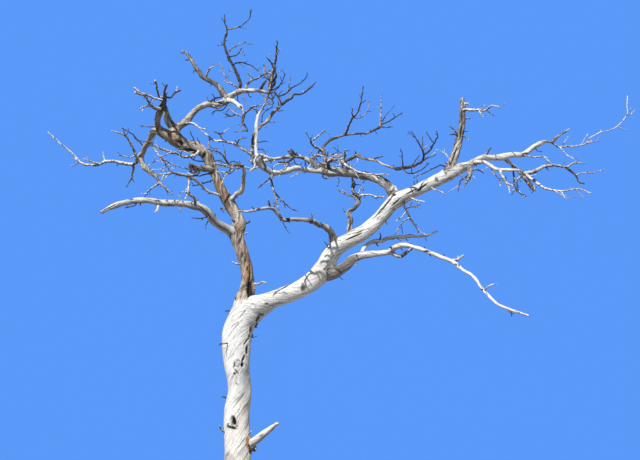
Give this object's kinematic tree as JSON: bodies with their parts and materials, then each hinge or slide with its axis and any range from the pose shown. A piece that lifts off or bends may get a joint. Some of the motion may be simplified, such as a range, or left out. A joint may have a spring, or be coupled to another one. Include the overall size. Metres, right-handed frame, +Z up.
{
  "type": "dead tree",
  "caption": "Bare dead tree without bark: a leaning tapered trunk with a flared foot, a high fork, long crooked boughs and tufts of leafless twigs.",
  "frame": {"origin": "on the ground, in the middle of the flat cut under the trunk", "axes": "+Z up along the trunk, +X to the side the long right bough reaches as the picture shows it, -Y towards the viewer of the picture"},
  "size_m": [6.4476, 2.9622, 7.3172],
  "materials": {
    "grey_twigs": "bare weathered twigs, dark grey brown, matt",
    "grey_wood": "bare weathered wood, dark grey brown, matt",
    "silver_twigs": "bare weathered twigs, silver white, matt",
    "silver_wood": "bare weathered wood, silver white, matt",
    "tan_wood": "bare weathered wood, tan brown with darker streaks, matt"
  },
  "bodies": {
    "root": {"trunk": "silver_wood", "trunk_snag": "silver_wood", "right_bough_lower": "silver_wood", "right_bough_middle": "silver_wood", "right_bough_upper": "silver_wood", "left_stem_lower": "tan_wood", "left_stem_upper": "tan_wood", "left_bough": "silver_wood", "white_bough": "silver_wood", "broken_stub": "tan_wood", "riser": "tan_wood", "west_bough": "grey_wood", "arc_bough": "tan_wood", "west_brace": "grey_wood", "horn": "grey_wood", "neck_bough": "silver_wood", "rail": "silver_wood", "far_left_bough": "tan_wood", "tail_bough": "grey_wood", "snake_bough": "grey_wood", "s_bough": "grey_wood", "low_bough_inner": "tan_wood", "low_bough_outer": "silver_wood", "low_spur": "silver_wood", "stump_bough": "grey_wood", "middle_bough": "silver_wood", "middle_rail": "silver_wood", "sag_bough": "silver_wood", "upright_bough": "silver_wood", "dark_bough": "grey_wood", "crown_bough": "grey_wood", "knot_bough": "grey_wood", "end_bough": "silver_wood", "under_bough": "silver_wood", "twigs_hook": "grey_twigs", "twigs_rail": "grey_twigs", "twigs_neck": "grey_twigs", "twigs_west": "grey_twigs", "twigs_far_left": "grey_twigs", "twigs_tail": "grey_twigs", "twigs_veil": "grey_twigs", "twigs_white": "silver_twigs", "twigs_left": "silver_twigs", "twigs_row": "grey_twigs", "twigs_centre": "grey_twigs", "twigs_upright": "grey_twigs", "twigs_dark": "grey_twigs", "twigs_sag": "grey_twigs", "twigs_crown_top": "grey_twigs", "twigs_crown_rise": "grey_twigs", "twigs_crown_left": "grey_twigs", "twigs_arch": "silver_twigs", "twigs_knot": "grey_twigs", "twigs_stump": "grey_twigs", "twigs_s": "silver_twigs", "twigs_below": "grey_twigs", "twigs_droop": "grey_twigs", "twigs_under": "grey_twigs", "twigs_tip": "silver_twigs", "twigs_end": "silver_twigs"}
  },
  "joints": []
}
